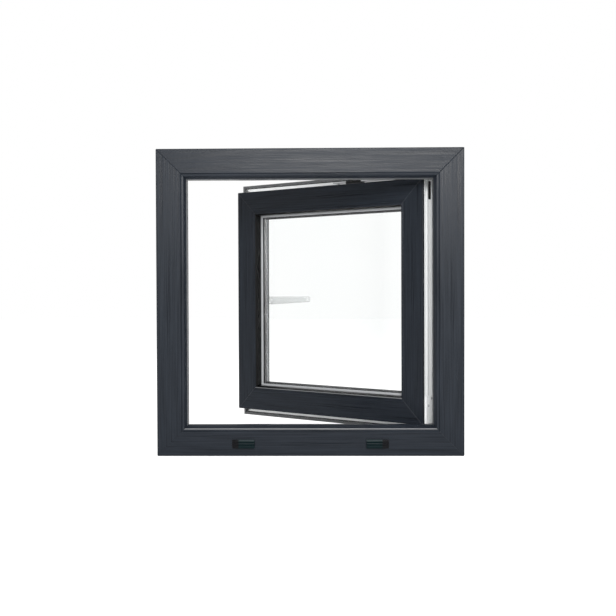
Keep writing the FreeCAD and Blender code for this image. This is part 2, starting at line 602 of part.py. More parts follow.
lever = doc.addObject("PartDesign::Body", "lever_body")
LEVER_TOP = f"({MIDDLE} + lever_root / 2)"
lever_outline = [
    (f"({HANDLE_X} - lever_root / 2)", f"({MIDDLE} - lever_root / 2)"),
    (f"({HANDLE_X} + lever_root / 2)", f"({MIDDLE} - lever_root / 2)"),
    (f"({HANDLE_X} + lever_length)", f"({LEVER_TOP} - lever_tip)"),
    (f"({HANDLE_X} + lever_length)", LEVER_TOP),
    (f"({HANDLE_X} - lever_root / 2)", LEVER_TOP),
]
grip = pad(lever, sketch(lever, "lever_outline", "XZ_Plane", [lever_outline], offset=f"-{depth(LEVER_BACK)}"),
           "lever_depth")
round_edges(lever, grip, "lever_rounding", "lever_round", lambda edge: True)
neck = doc.addObject("Part::Cylinder", "handle_neck")
neck.Placement = FreeCAD.Placement(FreeCAD.Vector(), FreeCAD.Rotation(FreeCAD.Vector(1, 0, 0), -90))
neck.setExpression("Radius", cell("neck_radius"))
neck.setExpression("Height", cell(f"{LEVER_FRONT} + lever_depth / 2 - {NECK_FRONT}"))
place(neck, HANDLE_X, depth(NECK_FRONT), MIDDLE)
handle_lever = fuse("handle_lever", [lever, neck])
place(handle_lever, on_sash=True)
keep(handle_lever, "handle_lever")

# Drain caps on the bottom bar: low louvred covers that slope down to the bar at their outer end.
CAP_WALL = depth("0")
CAP_FRONT = depth("(- cap_depth)")
for side, sign in (("left", "-"), ("right", "+")):
    body = doc.addObject("PartDesign::Body", "drain_cap_" + side)
    outer, slope_end, inner = (f"({sign} (cap_spacing {way}) / 2)"
                               for way in ("+ cap_length", "+ cap_length - 2 * cap_slope", "- cap_length"))
    outline = [(outer, CAP_WALL), (outer, f"({CAP_WALL} - cap_lip)"), (slope_end, CAP_FRONT),
               (inner, CAP_FRONT), (inner, CAP_WALL)]
    pad(body, sketch(body, f"drain_cap_{side}_outline", "XY_Plane", [outline],
                     offset="(cap_height - cap_width / 2)"), "cap_width")
    near = f"({sign} ((cap_spacing - cap_length) / 2 + louvre_margin))"
    far = f"({sign} ((cap_spacing + cap_length) / 2 - cap_slope - louvre_margin))"
    slots = [[(near, f"({middle} - louvre_width / 2)"), (far, f"({middle} - louvre_width / 2)"),
              (far, f"({middle} + louvre_width / 2)"), (near, f"({middle} + louvre_width / 2)")]
             for middle in ("(cap_height - cap_width / 6)", "(cap_height + cap_width / 6)")]
    louvres = body.newObject("PartDesign::Pocket", f"drain_cap_{side}_louvres")
    louvres.Profile = sketch(body, f"drain_cap_{side}_slots", "XZ_Plane", slots, offset=f"-{CAP_FRONT}")
    louvres.setExpression("Length", cell("louvre_depth"))
    keep(body, "drain_cap_" + side)

doc.recompute()

for obj in doc.Objects:
    if "Invalid" in obj.State or "Error" in obj.State:
        raise RuntimeError(f"{obj.Label} did not build: {obj.State}")
for obj in PARTS:
    if obj.Shape.isNull() or not obj.Shape.isValid():
        raise RuntimeError(f"{obj.Label} is not a valid solid")

os.makedirs("parts", exist_ok=True)
for obj in PARTS:
    obj.Shape.exportStep(f"parts/{obj.Label}.step")
    print(f"{obj.Label}: {len(obj.Shape.Solids)} solid, {obj.Shape.Volume / 1000:.1f} cm3")
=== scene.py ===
# %% [markdown]
# # A tilt and turn window, dressed in Blender
# The window's bars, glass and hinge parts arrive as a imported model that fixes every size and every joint.
# This lesson gives each piece its finish and redraws, as surfaces worked out with numpy, the pieces whose
# soft edges, welds and small fittings the plain solids leave out. Nothing is moved: a new piece is drawn
# where the solid stands and rides on the same moving body.

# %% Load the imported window
import json
import math

import bmesh
import bpy
import numpy as np
from mathutils import Matrix, Vector


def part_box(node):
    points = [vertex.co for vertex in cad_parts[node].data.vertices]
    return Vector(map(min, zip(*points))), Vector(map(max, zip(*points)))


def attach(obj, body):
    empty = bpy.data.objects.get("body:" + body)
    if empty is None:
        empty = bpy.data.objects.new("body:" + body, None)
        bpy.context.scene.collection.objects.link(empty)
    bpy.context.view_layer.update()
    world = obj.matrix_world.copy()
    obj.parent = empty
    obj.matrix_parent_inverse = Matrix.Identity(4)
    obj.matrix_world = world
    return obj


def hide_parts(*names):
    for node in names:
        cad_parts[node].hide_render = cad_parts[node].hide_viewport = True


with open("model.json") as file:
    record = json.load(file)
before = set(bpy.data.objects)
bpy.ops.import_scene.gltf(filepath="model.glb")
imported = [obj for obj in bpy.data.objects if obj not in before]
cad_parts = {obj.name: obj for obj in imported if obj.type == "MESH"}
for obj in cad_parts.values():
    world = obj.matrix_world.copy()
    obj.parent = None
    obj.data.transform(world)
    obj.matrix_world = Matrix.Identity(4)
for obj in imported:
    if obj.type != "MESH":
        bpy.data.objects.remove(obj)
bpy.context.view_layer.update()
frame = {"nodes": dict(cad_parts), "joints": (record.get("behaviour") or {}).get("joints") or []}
nodes = frame["nodes"]

# %% [markdown]
# ## Where things are
# A window maker draws a section with sizes measured inwards from the frame's outer edge and depths from
# the weather face. The same two numbers, in millimetres, are used here. The overall size comes from the
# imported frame, and the sash's joint tells where the hinge line is and how far the sash stands open.

# %% Overall sizes and the hinge line
MM = 0.001
LOW, HIGH = np.array(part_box("frame_left")[0]), np.array(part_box("frame_right")[1])
MIDDLE, HALF = (LOW + HIGH) / 2, (HIGH - LOW) / 2
sash_turn = next(joint for joint in frame["joints"] if joint["name"] == "sash_turn")
HINGE = np.array(sash_turn["pos_m"])
OPEN = -math.radians(sash_turn["range_deg"][0])
print("outside size in mm:", np.round(2 * HALF / MM, 1))
print("sash open by", round(math.degrees(OPEN), 1), "degrees")

# %% [markdown]
# ## From a section to a place in the window
# Each of the four sides is the same section laid along another edge of the square. One function turns
# "how far along, how far in, how deep" into a point in space, and a second one carries the points of the
# sash round the hinge line. Both take whole arrays, so a piece is placed in one step.

# %% Place a section point on a side, and turn the sash
SIDES = {"bottom": (2, 1), "top": (2, -1), "left": (0, 1), "right": (0, -1)}


def on_side(side, along, inwards, deep):
    """Point of the window: start at the side's outer edge, go inwards at a right angle to it, go along it
    from its middle, and go back from the weather face."""
    across, way = SIDES[side]
    point = np.zeros(np.broadcast(along, inwards, deep).shape + (3,))
    point[..., 2 - across] = MIDDLE[2 - across] + np.asarray(along) * MM
    point[..., across] = MIDDLE[across] - way * (HALF[across] - np.asarray(inwards) * MM)
    point[..., 1] = LOW[1] + np.asarray(deep) * MM
    return point


def with_sash(points):
    """Points drawn on the shut sash, turned about the upright hinge line by the angle it stands open."""
    turned, rest = np.array(points, float), np.asarray(points) - HINGE
    turned[..., 0] = HINGE[0] + rest[..., 0] * math.cos(OPEN) + rest[..., 1] * math.sin(OPEN)
    turned[..., 1] = HINGE[1] - rest[..., 0] * math.sin(OPEN) + rest[..., 1] * math.cos(OPEN)
    return turned


print("sash corner by the handle:", np.round(with_sash(on_side("left", 0, 52, 30)), 3))

# %% [markdown]
# ## Soft corners for a section
# Extruded plastic never has a knife edge: the die leaves a radius of about a millimetre. A bevel modifier
# could round the edges later, but here the section is drawn round from the start, so that every arc is a
# true one and the flats stay flat.

# %% Round the corners of a section
def soften(corners, radius, steps=5):
    """Outline of a section with each corner turned into an arc. The arc touches both edges at radius over
    the tangent of half the corner's angle, and swings evenly about a centre on the corner's bisector."""
    corner = np.asarray(corners, float)
    radius = np.broadcast_to(np.asarray(radius, float), len(corner))[:, None]
    back, ahead = np.roll(corner, 1, 0) - corner, np.roll(corner, -1, 0) - corner
    back, ahead = (v / np.linalg.norm(v, axis=1, keepdims=True) for v in (back, ahead))
    half = np.arccos(np.clip((back * ahead).sum(1, keepdims=True), -1, 1)) / 2
    bisector = (back + ahead) / np.linalg.norm(back + ahead, axis=1, keepdims=True)
    centre = corner + bisector * radius / np.sin(half)
    first, last = (corner + v * radius / np.tan(half) - centre for v in (back, ahead))
    swing, t = np.pi - 2 * half, np.linspace(0, 1, steps)
    share = np.stack([np.sin((1 - t) * swing), np.sin(t * swing)]) / np.sin(swing)
    points = centre[:, None] + share[0][..., None] * first[:, None] + share[1][..., None] * last[:, None]
    return points.reshape(-1, 2)


def inset(outline, by):
    """The outline moved inwards by one amount: each point goes along the normal of its two neighbours."""
    run = np.roll(outline, -1, 0) - np.roll(outline, 1, 0)
    normal = np.stack([-run[:, 1], run[:, 0]], 1) / np.linalg.norm(run, axis=1, keepdims=True)
    area = np.sum(outline[:, 0] * np.roll(outline[:, 1], -1) - np.roll(outline[:, 0], -1) * outline[:, 1])
    return outline + normal * by * np.sign(area)


print("points of a square with soft corners:", len(soften([(0, 0), (10, 0), (10, 10), (0, 10)], 1)))

# %% [markdown]
# ## Handing a piece to its body
# A piece that is drawn here rides on the same moving body as the solid it stands for. Before that its faces
# are turned outwards and shaded smooth, and edges beyond a set angle stay sharp. The narrow arcs of a bar
# would pull the shading of the wide faces beside them askew. More rows of faces could hide that, but the
# weighted normals modifier does it with none: it lets the wide faces decide.

# %% Shade a mesh and hand it over
SMOOTH_UP_TO = math.radians(40)


def finish_mesh(name, mesh, body, finish, stands_for=()):
    """Turns the faces outwards, shades them smooth up to a set angle and hands the piece to its body."""
    shell = bmesh.new()
    shell.from_mesh(mesh)
    bmesh.ops.recalc_face_normals(shell, faces=shell.faces)
    shell.to_mesh(mesh)
    shell.free()
    mesh.polygons.foreach_set("use_smooth", np.ones(len(mesh.polygons), bool))
    mesh.set_sharp_from_angle(angle=SMOOTH_UP_TO)
    mesh.materials.append(finish)
    piece = bpy.data.objects.new(name, mesh)
    bpy.context.scene.collection.objects.link(piece)
    even = piece.modifiers.new("even_shading", "WEIGHTED_NORMAL")
    even.keep_sharp = True
    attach(piece, body)
    if stands_for:
        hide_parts(*stands_for)
    return piece


print("edges stay sharp beyond", round(math.degrees(SMOOTH_UP_TO)), "degrees")

# %% [markdown]
# ## From a grid of points to a piece
# A piece here is a grid: rows along the bar, columns round the section. A curve with a bevel could carry a
# section along a line too, but in a grid each row may have its own shape and each face its own number. One
# helper numbers the faces. A second one makes the mesh with its own map in metres, and paints the faces with
# the number that the finish reads later.

# %% Make a mesh from a grid
def grid_faces(rows, columns, ring=False):
    """Faces that join each grid point with the next one in both directions, and the two end faces. Columns
    wrap round. Rows do so on a ring, which has no ends."""
    index = np.arange(rows * columns).reshape(rows, columns)
    lower = index if ring else index[:-1]
    upper = np.roll(index, -1, 0) if ring else index[1:]
    sides = np.stack([lower, np.roll(lower, -1, 1), np.roll(upper, -1, 1), upper], -1)
    ends = [] if ring else [index[0, ::-1].tolist(), index[-1].tolist()]
    return sides.reshape(-1, 4).tolist(), ends


def grid_piece(name, grid, body, finish, stands_for=(), ring=False, paint=None):
    """Piece with the faces of a grid. Its map runs in metres along the rows and round the columns. Paint is
    a number per face, kept as the attribute "coat"."""
    rows, columns = grid.shape[:2]
    sides, ends = grid_faces(rows, columns, ring)
    mesh = bpy.data.meshes.new(name)
    mesh.from_pydata(grid.reshape(-1, 3).tolist(), [], sides + ends)

    step_on = np.linalg.norm(np.roll(grid, -1, 0) - grid, axis=-1).mean(1)
    step_round = np.linalg.norm(np.roll(grid, -1, 1) - grid, axis=-1).mean(0)
    on, round_ = (np.concatenate([[0], np.cumsum(step)]) for step in (step_on, step_round))
    strips = len(sides) // columns
    r, c = np.meshgrid(np.arange(strips), np.arange(columns), indexing="ij")
    side_map = np.stack([np.stack([on[r], round_[c]], -1), np.stack([on[r], round_[c + 1]], -1),
                         np.stack([on[r + 1], round_[c + 1]], -1), np.stack([on[r + 1], round_[c]], -1)], 2)
    full_map = np.zeros((len(mesh.loops), 2))
    full_map[:4 * len(sides)] = side_map.reshape(-1, 2)
    mesh.uv_layers.new(name="run").data.foreach_set("uv", full_map.ravel())
    if paint is not None:
        numbers = np.zeros(len(mesh.polygons))
        numbers[:len(sides)] = np.broadcast_to(paint, (strips, columns)).ravel()
        mesh.attributes.new("coat", "FLOAT", "FACE").data.foreach_set("value", numbers)
    return finish_mesh(name, mesh, body, finish, stands_for)


print("faces of a ring with four corners and six columns:", len(grid_faces(4, 6, ring=True)[0]))

# %% [markdown]
# ## Building a finish
# Every finish is one Principled shader fed by a few procedural nodes. A node could be dragged in by hand in
# the shader editor. Written out, it is three steps that come back all the time, so each has a helper: start a
# finish, add a node with its settings, and draw a wire.

# %% Start a finish, add a node, draw a wire
def new_finish(name, **sockets):
    """Material with one Principled shader, its constant values set on the shader's own sockets."""
    finish = bpy.data.materials.new(name)
    finish.use_nodes = True
    shader = finish.node_tree.nodes["Principled BSDF"]
    for socket, value in sockets.items():
        shader.inputs[socket.replace("_", " ")].default_value = value
    return finish, shader


def link(finish, source, target):
    """Wire from an output to an input."""
    finish.node_tree.links.new(source, target)


def node(finish, kind, inputs=(), **settings):
    """Node of one kind. Inputs are (socket, value) pairs, and a value that is a socket is linked."""
    made = finish.node_tree.nodes.new("ShaderNode" + kind)
    for key, value in settings.items():
        setattr(made, key, value)
    for socket, value in inputs:
        if isinstance(value, bpy.types.NodeSocket):
            link(finish, value, made.inputs[socket])
        else:
            made.inputs[socket].default_value = value
    return made


print("helpers for nodes:", [helper.__name__ for helper in (new_finish, link, node)])

# %% [markdown]
# ## Patterns
# Nearly every surface here is one soft noise, used three times: as a small change of colour, of gloss and of
# height. Stretching the coordinate first makes the noise long one way and fine the other, which gives wood
# grain or brush marks. An image could do the same, but it would not stay sharp close up.

# %% Noise, and what is made of it
ROUGH_NOISE = 0.55


def stretched_noise(finish, source, scale, detail=3.0):
    """Noise on a coordinate that is stretched first: scale gives the pattern's repeats per metre each way."""
    where = node(finish, "Mapping", [("Vector", source), ("Scale", scale)])
    return node(finish, "TexNoise", [("Vector", where.outputs[0]), ("Scale", 1.0), ("Detail", detail),
                                     ("Roughness", ROUGH_NOISE)]).outputs["Fac"]


def ramp(finish, factor, low, high, start=0.3, stop=0.7):
    """Blend of two colours, from low where the factor is at start to high where it is at stop."""
    made = node(finish, "ValToRGB", [("Fac", factor)])
    made.color_ramp.elements[0].position, made.color_ramp.elements[1].position = start, stop
    made.color_ramp.elements[0].color, made.color_ramp.elements[1].color = (*low, 1), (*high, 1)
    return made.outputs["Color"]


def spread(finish, factor, low, high, start=0.25, stop=0.75):
    """Number from low, where the factor is at start, to high, where it is at stop."""
    return node(finish, "MapRange", [("Value", factor), ("From Min", start), ("From Max", stop),
                                     ("To Min", low), ("To Max", high)]).outputs[0]


def bump(finish, height, distance, strength=0.5):
    """Normal that follows a height of 0 to 1, times a distance in metres."""
    return node(finish, "Bump", [("Height", height), ("Distance", distance),
                                 ("Strength", strength)]).outputs[0]


print("helpers for patterns:", [helper.__name__ for helper in (stretched_noise, ramp, spread, bump)])

# %% [markdown]
# ## Anthracite foil outside, white plastic inside
# The bars are white plastic with a grained foil laminated to the weather side. One material serves both,
# because the foil ends in the middle of a face: the piece carries a number per face that says how much foil
# there is. From 1 to 2 the number turns foil into black rubber, for a soft lip that is extruded with the bar.
# The grain runs along the bar, as long thin streaks that change the colour a little and leave a shallow
# relief, so the material reads the piece's own map and not the room's axes.

# %% Foiled profile finish
GRAIN, STREAK, CLOUD = (14, 900, 1), (5, 210, 1), (6, 25, 1)
STREAK_SHARE, GRAIN_LOW, GRAIN_HIGH = 0.6, 0.36, 0.64
FOIL_TONES = (0.0057, 0.0076, 0.0109), (0.0130, 0.0166, 0.0228)
WHITE_TONES = (0.86, 0.87, 0.87), (0.89, 0.90, 0.90)
RUBBER_TONES = (0.0016, 0.0017, 0.0019), (0.0034, 0.0036, 0.0040)
FOIL_ROUGH, WHITE_ROUGH = (0.24, 0.44), (0.27, 0.31)
GRAIN_DEPTH, RELIEF_ON_WHITE = 0.0005, 0.03


def foiled_profile():
    """Foil, white plastic and rubber mixed by the number per face. Fine grain and broad streaks together give
    the foil its colour, roughness and relief. A slow cloud does so for the white plastic."""
    finish, shader = new_finish("foiled_profile", Specular_IOR_Level=0.125)
    run = node(finish, "UVMap", uv_map="run").outputs[0]
    grain = stretched_noise(finish, run, GRAIN, 4.0)
    streak = stretched_noise(finish, run, STREAK, 2.0)
    both = node(finish, "Mix", [("Factor", STREAK_SHARE), (2, grain), (3, streak)]).outputs[0]
    cloud = stretched_noise(finish, run, CLOUD)
    coat = node(finish, "Attribute", attribute_name="coat").outputs["Fac"]
    foil = node(finish, "Math", [(0, coat), (1, 1.0)], operation="MINIMUM").outputs[0]
    lip = node(finish, "Math", [(0, coat), (1, 1.0)], operation="SUBTRACT", use_clamp=True).outputs[0]

    dark = ramp(finish, both, *FOIL_TONES, GRAIN_LOW, GRAIN_HIGH)
    colour = ramp(finish, cloud, *WHITE_TONES)
    rubber = ramp(finish, grain, *RUBBER_TONES)
    for share, over in ((foil, dark), (lip, rubber)):
        colour = node(finish, "Mix", [("Factor", share), (6, colour), (7, over)], data_type="RGBA").outputs[2]
    link(finish, colour, shader.inputs["Base Color"])

    satin = spread(finish, both, *FOIL_ROUGH, GRAIN_LOW, GRAIN_HIGH)
    gloss = spread(finish, cloud, *WHITE_ROUGH)
    rough = node(finish, "Mix", [("Factor", foil), (2, gloss), (3, satin)]).outputs[0]
    link(finish, rough, shader.inputs["Roughness"])
    share = node(finish, "Math", [(0, foil), (1, RELIEF_ON_WHITE)], operation="MAXIMUM").outputs[0]
    relief = node(finish, "Math", [(0, both), (1, share)], operation="MULTIPLY").outputs[0]
    link(finish, bump(finish, relief, GRAIN_DEPTH, 0.7), shader.inputs["Normal"])
    return finish


FOILED = foiled_profile()
print("nodes in the profile's finish:", len(FOILED.node_tree.nodes))

# %% [markdown]
# ## The sections of the bars
# A section is drawn as its maker draws it: corner by corner, with a radius for each. The frame has clip
# grooves round its outside and a ridge before its sloped inner edge. The sash has the same ridge and slope
# at the glass, a stepped groove for the lock and stay in its edge, and a flange that laps over the frame.

# %% Sections of frame and sash
FRAME_SECTION = soften(
    [(0, 0), (47.6, 0), (48.4, 1.1), (50.2, 0.15), (52.3, 0.5), (54, 0.9), (58.5, 7.05), (60, 9.2), (60, 25),
     (40, 25), (40, 70), (0, 70), (0, 58), (4, 58), (4, 52), (0, 52), (0, 18), (4, 18), (4, 12), (0, 12)],
    [1.5, 0.3, 0.3, 1.4, 0.5, 1.4, 0.4, 1.6, 1.0, 0.6, 1.5, 1.5] + [0.4] * 8)
SASH_SECTION = soften(
    [(52, 30), (97.6, 30), (98.4, 31.1), (100.2, 30.15), (101.9, 30.45), (103.2, 30.8), (106.5, 36),
     (106.5, 48), (86.5, 48), (86.5, 84), (35, 84), (32, 81), (32, 75), (38.3, 75), (38.3, 77.6),
     (40.3, 77.6), (40.3, 75), (52, 75), (52, 56), (54.5, 56), (54.5, 53), (63.5, 53), (63.5, 43),
     (54.5, 43), (54.5, 40), (52, 40), (52.03, 36.6)],
    [1.5, 0.3, 0.3, 1.4, 0.5, 1.2, 1.2, 0.8, 0.5, 0.6, 1.4, 1.4, 0.8] + [0.3] * 4 + [0.6] + [0.5] * 9)
print("points round a section: frame", len(FRAME_SECTION), "sash", len(SASH_SECTION))

# %% [markdown]
# ## Where foil, rubber, painted shade and painted highlights are
# The foil covers the weather side and wraps round the corners of the section. A rubber lip lies against the
# glass. As painted shade, the flange's groove is coloured dark and the step for the lock plate grey. A little
# less foil makes a face paler. The grey nose of the gasket at the frame's inner edge is painted paler at the
# left and top, barely at the right and not at the bottom, as painted light and shade. A painted highlight
# lies on the ridge of the two bottom bars.

# %% Number per face for the bars
FAR = 999
# Seam values below 1 make the weld's groove paler: partly the bare, touched-up seam, partly a painted
# highlight.
SASH_SEAM, FRAME_SEAM = 0.985, 0.997


def faces_in(outline, inwards, deep, seam_and_glint=SASH_SEAM):
    """1 for each face of the section whose middle lies in both ranges and 0 for the others. It is a little
    less than 1 in the weld's groove, where the cutter has taken the foil off and the seam is touched up. This
    paler seam is also a painted highlight for the light that the smooth groove catches."""
    u, v = ((outline + np.roll(outline, -1, 0)) / 2).T
    inside = (u > inwards[0]) & (u < inwards[1]) & (v > deep[0]) & (v < deep[1])
    seam = np.array([seam_and_glint, seam_and_glint, 1, 1, 1, seam_and_glint, seam_and_glint])[:, None]
    return inside * seam


frame_foil = np.maximum(faces_in(FRAME_SECTION, (0.05, FAR), (-FAR, 11), FRAME_SEAM),
                        faces_in(FRAME_SECTION, (5, FAR), (-FAR, 25.5), FRAME_SEAM))
gasket_nose = faces_in(FRAME_SECTION, (58.6, FAR), (7, 24.6))
# Painted light and shade: the gasket's nose is paler at the left and top and nearly dark at the right. On the
# bottom bar a painted highlight lies on the ridge.
gasket_and_painted_light = {"bottom": 0.13 * faces_in(FRAME_SECTION, (52.4, 54.2), (-FAR, 1.2)),
              "top": 0.09 * gasket_nose, "left": 0.11 * gasket_nose, "right": 0.02 * gasket_nose}

sash_foil = np.maximum.reduce([faces_in(SASH_SECTION, (-FAR, FAR), (-FAR, 36.8)),
                               faces_in(SASH_SECTION, (52.05, FAR), (-FAR, 39.5)),
                               faces_in(SASH_SECTION, (85, FAR), (-FAR, 48.5))])
rubber_lip = faces_in(SASH_SECTION, (103.9, FAR), (32, 48.5))
# Painted shade: the faces of the flange's seal groove get the dark foil colour.
groove_painted_shade = faces_in(SASH_SECTION, (38, 40.5), (75.2, 78))
# Painted shade: the step for the lock plate is coloured grey where the groove lies in shade.
step_painted_shade = 0.42 * faces_in(SASH_SECTION, (52.2, 54.8), (52.9, 56.1))
# Painted highlight along the ridge of the sash's bottom bar.
ridge_painted_highlight = 0.14 * faces_in(SASH_SECTION, (101.9, 103.4), (-FAR, 31.2))
sash_coat = sash_foil + rubber_lip + groove_painted_shade + step_painted_shade
print("faces with foil: frame", int((frame_foil[3] > 0).sum()), "sash", int((sash_foil[3] > 0).sum()))

# %% [markdown]
# ## The bars of frame and sash
# Each bar is the section carried along one side and cut off at 45 degrees. Where two bars are welded, the
# weld is cleaned with a cutter that leaves a shallow groove along the mitre, so the last two millimetres
# of the bar are drawn slightly smaller. Rows near the end lie parallel to the cut.

# %% Mitred bars
WELD = [(0, 0.45), (0.5, 0.4), (1.0, 0.12), (1.4, 0)]


def mitred_bar(side, outline, ends=WELD):
    """Grid of a bar: the outline at each place along the side. Near an end the outline lies parallel to the
    mitre, inset by the depth of the weld's groove. Ends lists how far from the mitre, and how deep."""
    from_end, depth = np.array(ends).T
    rows = np.stack([inset(outline, d) for d in depth])
    reach = HALF[2 - SIDES[side][0]] / MM - rows[..., 0] - from_end[:, None]
    along = np.concatenate([-reach, reach[::-1]])
    rows = np.concatenate([rows, rows[::-1]])
    return on_side(side, along, rows[..., 0], rows[..., 1])


for side in SIDES:
    grid_piece(f"frame_bar_{side}", mitred_bar(side, FRAME_SECTION), "frame", FOILED,
               [f"frame_{side}"], paint=frame_foil - gasket_and_painted_light[side])
    grid_piece(f"sash_bar_{side}", with_sash(mitred_bar(side, SASH_SECTION)), "sash", FOILED,
               [f"sash_{side}"], paint=sash_coat - ridge_painted_highlight * (side == "bottom"))
print("bars drawn:", 2 * len(SIDES))

# %% [markdown]
# ## Seals, metal and lacquer
# The other finishes are told apart by how they take light more than by colour: seals are dull with a faint
# mould texture, zinc is brushed, the handle is lacquered. Each could have a recipe of its own, but one recipe
# with other numbers is enough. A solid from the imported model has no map, so these finishes read object
# coordinates.

# %% Finishes without a map
def mottled(name, low, high, scale, rough, relief, **sockets):
    """Finish whose colour, roughness and relief all follow one stretched noise on object coordinates."""
    finish, shader = new_finish(name, **sockets)
    place = node(finish, "TexCoord").outputs["Object"]
    noise = stretched_noise(finish, place, scale)
    link(finish, ramp(finish, noise, low, high), shader.inputs["Base Color"])
    link(finish, spread(finish, noise, *rough), shader.inputs["Roughness"])
    link(finish, bump(finish, noise, relief), shader.inputs["Normal"])
    return finish


SEAL = mottled("soft_seal", (0.31, 0.32, 0.33), (0.38, 0.39, 0.40), (700, 700, 700), (0.55, 0.7), 0.0001)
DARK_SEAL = mottled("dark_seal", (0.055, 0.058, 0.06), (0.09, 0.093, 0.095), (700, 700, 700),
                    (0.5, 0.65), 0.0001)
BLACKENED = mottled("blackened_steel", (0.003, 0.003, 0.0035), (0.007, 0.007, 0.008), (400, 400, 400),
                    (0.35, 0.5), 0.00005, Specular_IOR_Level=0.15)
ZINC = mottled("zinc_plate", (0.385, 0.39, 0.405), (0.445, 0.45, 0.465), (700, 700, 25),
               (0.28, 0.40), 0.00001, Metallic=1.0)
COATED = mottled("white_coat", (0.80, 0.81, 0.81), (0.86, 0.87, 0.87), (350, 350, 350), (0.25, 0.36), 0.00003)
LACQUER = mottled("handle_lacquer", (0.575, 0.583, 0.583), (0.593, 0.601, 0.601), (1100, 1100, 1100),
                  (0.25, 0.29), 0.000006)
print("finishes without a map:",
      [finish.name for finish in (SEAL, DARK_SEAL, BLACKENED, ZINC, COATED, LACQUER)])

# %% [markdown]
# ## Glass
# A pane is float glass: clear, flat and faintly wavy. The shader bends light that the eye sees through it.
# Light on its way from a lamp is let by unbent, because a bent ray seldom finds a small lamp, and the pane
# would then throw a dark shadow.

# %% Float glass
GLASS = mottled("float_glass", (0.985, 0.995, 0.992), (0.995, 1.0, 0.998), (5, 5, 5), (0.0, 0.01), 0.0002,
                Transmission_Weight=1.0, IOR=1.2)
rays = node(GLASS, "LightPath")
lets_light_by = node(GLASS, "Math", [(0, rays.outputs["Is Shadow Ray"]), (1, rays.outputs["Is Diffuse Ray"])],
                     operation="MAXIMUM").outputs[0]
clear = node(GLASS, "BsdfTransparent").outputs[0]
pass_by = node(GLASS, "MixShader", [("Fac", lets_light_by), (2, clear)])
link(GLASS, GLASS.node_tree.nodes["Principled BSDF"].outputs[0], pass_by.inputs[1])
link(GLASS, pass_by.outputs[0], GLASS.node_tree.nodes["Material Output"].inputs["Surface"])
print("nodes in the glass:", len(GLASS.node_tree.nodes))

# %% [markdown]
# ## Solids that stay
# Panes, plates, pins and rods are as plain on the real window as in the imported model. Drawing them again
# would add nothing, so these solids stay and only get their finish.

# %% Finish the solids that stay
KEPT = {DARK_SEAL: ["overlap_seal"], GLASS: ["pane_outer", "pane_inner"],
        COATED: ["corner_bearing", "stay_bearing", "lower_hinge_strap"],
        ZINC: ["striker_upper", "striker_lower", "pivot_pin", "stay_arm", "stay_guide", "lock_faceplate",
               "lock_rod"]}
for finish, names in KEPT.items():
    for name in names:
        nodes[name].data.materials.clear()
        nodes[name].data.materials.append(finish)
print("solids kept with a new finish:", sum(map(len, KEPT.values())))

# %% [markdown]
# ## Beads and seals
# Four glazing beads clip into the sash from the room side. They are white plastic, cut to a mitre but not
# welded, so a hair gap stays at the corners. The seals are pushed into grooves and go all the way round. A
# ring needs its section only at the four corners, because straight runs join them.

# %% Glazing beads, glazing seals and the frame's seal
BEAD_END = [(0.12, 0.0), (0.5, 0.0)]
WHITE_ONLY = 0.0


def mitred_ring(outline):
    """Grid of a ring: the outline at each corner of the square, where it lies in the mitre."""
    way = np.array([(-1, -1), (1, -1), (1, 1), (-1, 1)])[:, None]
    reach = HALF[[0, 2]] - outline[:, :1] * MM
    flat = MIDDLE[[0, 2]] + way * reach
    deep = np.broadcast_to(LOW[1] + outline[:, 1] * MM, flat.shape[:2])
    return np.stack([flat[..., 0], deep, flat[..., 1]], -1)


BEAD_SECTION = soften([(86.5, 71.9), (106.5, 71.9), (106.5, 77.9), (97.5, 84), (86.5, 84)],
                      [0.5, 0.8, 2.0, 1.8, 0.5])
OUTER_LIP = soften([(102, 48), (109.5, 48), (111, 49.2), (110.4, 51), (102, 51)], [0.3, 1.2, 0.6, 0.6, 0.3])
INNER_LIP = soften([(102, 68.9), (112.4, 68.9), (113, 70.65), (110.5, 71.9), (102, 71.9)],
                   [0.3, 0.6, 0.6, 1.2, 0.3])
FRAME_LIP = soften([(54, 25), (59, 25), (59, 27), (57.6, 29.4), (55.6, 29.4), (54, 27)],
                   [0.2, 0.2, 1.2, 0.9, 0.9, 1.2])
for side in SIDES:
    grid_piece(f"glazing_bead_{side}", with_sash(mitred_bar(side, BEAD_SECTION, BEAD_END)), "sash",
               FOILED, [f"bead_{side}"], paint=WHITE_ONLY)
grid_piece("outer_glazing_seal", with_sash(mitred_ring(OUTER_LIP)), "sash", SEAL,
           ["glazing_gasket_outer"], ring=True)
grid_piece("inner_glazing_seal", with_sash(mitred_ring(INNER_LIP)), "sash", DARK_SEAL,
           ["glazing_gasket_inner"], ring=True)
grid_piece("weather_seal", mitred_ring(FRAME_LIP), "frame", SEAL, ["frame_seal"], ring=True)
print("bead in mm:", np.ptp(BEAD_SECTION, 0).round(1), "frame's seal in mm:", np.ptp(FRAME_LIP, 0).round(1))

# %% [markdown]
# ## The spacer between the panes
# A slim metal bar keeps the two panes apart. Its inner face has a row of fine slits, behind which drying
# grains sit, and dark sealant covers its flanks. The slits are too fine to cut out, so the finish draws them:
# a saw-tooth along the bar says where a slit starts, and a narrow band keeps them on the middle of the face.

# %% Spacer bar with its slits
SLITS_PER_METRE, SLIT_SHARE, SLIT_HALF_WIDTH = 125.0, 0.55, 0.0005


